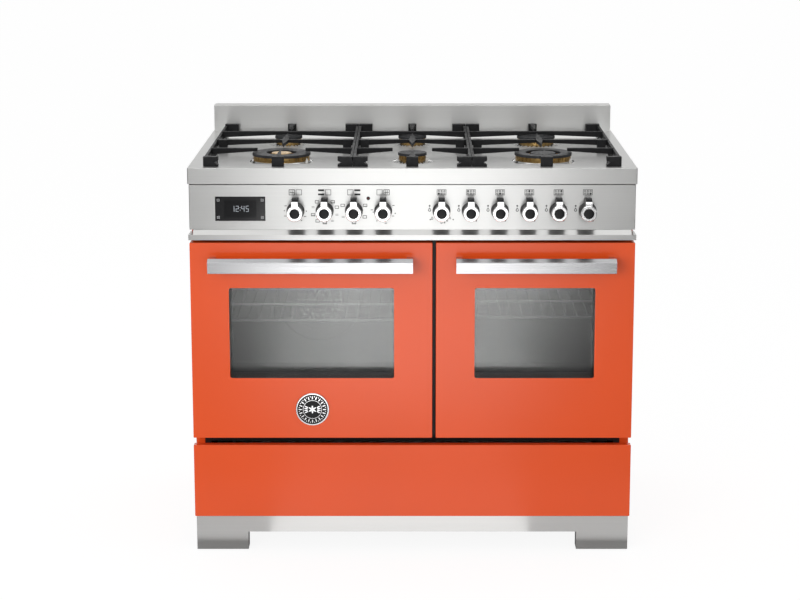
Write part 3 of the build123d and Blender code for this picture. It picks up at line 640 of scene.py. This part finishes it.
dome = [(0, 0.4 * MM), (24 * MM, 0.38 * MM), (33.4 * MM, 0.34 * MM), (34.6 * MM, 0.2 * MM),
        (34.8 * MM, -0.4 * MM)]
enamel = turned("badge_enamel", dome, (BADGE_X, badge_low.y, BADGE_Z), (0, -1, 0), 72)
place("badge_enamel", enamel, insert_black, "door_left")
relief = mesh_from("badge_rosette", rosette)
place("badge_rosette", relief, materials["badge_chrome"], "door_left")

# ---------------------------------------------------------------- cooktop details
for index, (x, y) in enumerate(BURNERS, start=1):
    reach = (CAP_RADII[(x, y)] + 7) * MM
    angle = math.radians(-35)
    spot = (x + reach * math.cos(angle), y + reach * math.sin(angle), PAN_Z)
    spark = [(0, 12 * MM), (1.1 * MM, 12 * MM), (1.2 * MM, 9 * MM), (2.6 * MM, 8.6 * MM),
             (3.0 * MM, 6 * MM), (3.4 * MM, 0)]
    place(f"igniter_{index}", turned(f"igniter_{index}", spark, spot, (0, 0, 1), 20), ceramic, "chassis")


def screw(name, spot, axis, body, size=3.6):
    """A pan-head screw with a round recess."""
    r = size * MM
    profile = [(0, 0.25 * r), (0.32 * r, 0.28 * r), (0.38 * r, 0.62 * r), (0.7 * r, 0.52 * r),
               (0.95 * r, 0.25 * r), (r, 0)]
    place(name, turned(name, profile, spot, axis, 20), materials["foot_steel"], body)


rear_low, rear_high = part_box("rear_panel")
number = 0
for x in (rear_low.x + 12 * MM, -0.165, 0.165, rear_high.x - 12 * MM):
    for z in (rear_low.z + 14 * MM, 0.33, 0.6, rear_high.z - 24 * MM):
        number += 1
        screw(f"rear_screw_{number}", (x, rear_high.y, z), (0, 1, 0), "chassis")
lid_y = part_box("terminal_box")[1].y - 0.1 * MM
LID_CORNERS = [(x, z) for z in (0.708, 0.772) for x in (-0.432, -0.348)]
for index, (x, z) in enumerate(LID_CORNERS, start=1):
    screw(f"terminal_screw_{index}", (x, lid_y, z), (0, 1, 0), "chassis", 2.6)
SIDE_SCREWS = [(y, z) for z in (0.845, 0.085) for y in (-0.225, 0.305)]
for side, sign in (("left", -1), ("right", 1)):
    side_x = sign * 496 * MM
    for index, (y, z) in enumerate(SIDE_SCREWS, start=1):
        screw(f"side_screw_{side}_{index}", (side_x, y, z), (sign, 0, 0), "chassis", 3.2)


def front_hem(bm):
    """Folded hem along the lower edge of the cooktop's front."""
    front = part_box("cooktop")[0].y
    slab(bm, (-0.498, 0.498), (857.2 * MM, 858.0 * MM), front, 0.25 * MM)


hem = mesh_from("cooktop_hem", front_hem)
place("cooktop_hem", hem, materials["stainless"], "chassis")

# ---------------------------------------------------------------- floor, lights and camera
bpy.ops.mesh.primitive_plane_add(size=60, location=(0, 0, 0))
floor = bpy.context.object
floor.name = "floor"
floor_material = new_material("floor_pale", (0.80, 0.80, 0.80), 0.9, Specular_IOR_Level=0.0)
tree = floor_material.node_tree
rays = node(floor_material, "ShaderNodeLightPath")
matt = tree.nodes["Principled BSDF"].outputs["BSDF"]
for ray, strength, amount in (("Is Camera Ray", 1.10, FLOOR_LIFT), ("Is Glossy Ray", FLOOR_MIRRORED, 0.8)):
    glow = node(floor_material, "ShaderNodeEmission", Strength=strength)
    lift = node(floor_material, "ShaderNodeMath", operation="MULTIPLY")
    lift.inputs[1].default_value = amount
    share = node(floor_material, "ShaderNodeMixShader")
    link(floor_material, rays.outputs[ray], lift.inputs[0])
    link(floor_material, lift.outputs[0], share.inputs["Fac"])
    link(floor_material, matt, share.inputs[1])
    link(floor_material, glow.outputs["Emission"], share.inputs[2])
    matt = share.outputs["Shader"]
link(floor_material, matt, tree.nodes["Material Output"].inputs["Surface"])
floor.data.materials.append(floor_material)

world = bpy.data.worlds.new("studio")
bpy.context.scene.world = world
world.use_nodes = True
tree = world.node_tree
background = tree.nodes["Background"]
background.inputs["Color"].default_value = (1.0, 1.0, 1.0, 1.0)
rays = tree.nodes.new("ShaderNodeLightPath")
mirrored = tree.nodes.new("ShaderNodeMapRange")
mirrored.inputs["To Min"].default_value = AMBIENT
mirrored.inputs["To Max"].default_value = MIRRORED
tree.links.new(rays.outputs["Is Glossy Ray"], mirrored.inputs["Value"])
seen = tree.nodes.new("ShaderNodeMath")
seen.operation = "MAXIMUM"
tree.links.new(rays.outputs["Is Camera Ray"], seen.inputs[0])
tree.links.new(mirrored.outputs["Result"], seen.inputs[1])
tree.links.new(seen.outputs["Value"], background.inputs["Strength"])


def area_light(name, spot, target, size, radiance, glossy=True, diffuse=True):
    """A rectangular softbox that faces a target, with its brightness per area."""
    data = bpy.data.lights.new(name, "AREA")
    data.shape = "RECTANGLE"
    data.size, data.size_y = size
    data.energy = radiance * math.pi * size[0] * size[1]
    lamp = bpy.data.objects.new(name, data)
    lamp.location = spot
    lamp.rotation_euler = (Vector(target) - Vector(spot)).to_track_quat("-Z", "Y").to_euler()
    lamp.visible_glossy = glossy
    lamp.visible_diffuse = diffuse
    lamp.visible_camera = False
    bpy.context.scene.collection.objects.link(lamp)
    return lamp


area_light("front_key", (-2.2, -4.4, 1.6), (0, -0.3, 0.45), (2.4, 1.8), 5.6, glossy=False)
area_light("top_box", (0, 0.6, 3.2), (0, 0.1, 0.9), (2.6, 1.6), 0.8)
area_light("top_gloss", (0, -1.1, 3.0), (0, -0.6, 0.7), (3.0, 1.4), 1.2, diffuse=False)
area_light("front_high", (0, -6.5, 2.2), (0, 0, 1.0), (3.5, 1.4), 2.55, diffuse=False)
area_light("back_low", (0, 4.0, 1.6), (0, 0, 0.9), (3.4, 0.9), 1.35, diffuse=False)
for name, y, width, length, radiance in (
    ("glow_foot", -0.55, 1.6, 0.5, 0.5), ("glow_near", -0.9, 0.6, 1.2, 0.7),
    ("glow_middle", -2.1, 0.8, 1.2, 2.4), ("glow_far", -4.2, 1.2, 3.0, 3.0),
):
    area_light(name, (-0.03, y, 0.02), (-0.03, y, 1.0), (width, length), radiance, diffuse=False)
for side in DOORS:
    low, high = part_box(f"oven_liner_{side}")
    spot = ((low.x + high.x) / 2, low.y + 70 * MM, high.z - 25 * MM)
    area_light(f"oven_lamp_{side}", spot, (spot[0], spot[1] + 0.1, low.z), (0.25, 0.03), 3.5, glossy=False)

camera_data = bpy.data.cameras.new("camera")
camera_data.lens = 91.47
camera_data.sensor_width = 36.0
camera_data.shift_x = -0.0154
camera_data.shift_y = -0.06
camera = bpy.data.objects.new("camera", camera_data)
camera.location = (0, -4.744, 1.579)
camera.rotation_euler = (math.radians(90 - 11.15), 0, 0)
bpy.context.scene.collection.objects.link(camera)
bpy.context.scene.camera = camera
bpy.context.scene.view_settings.view_transform = "Standard"
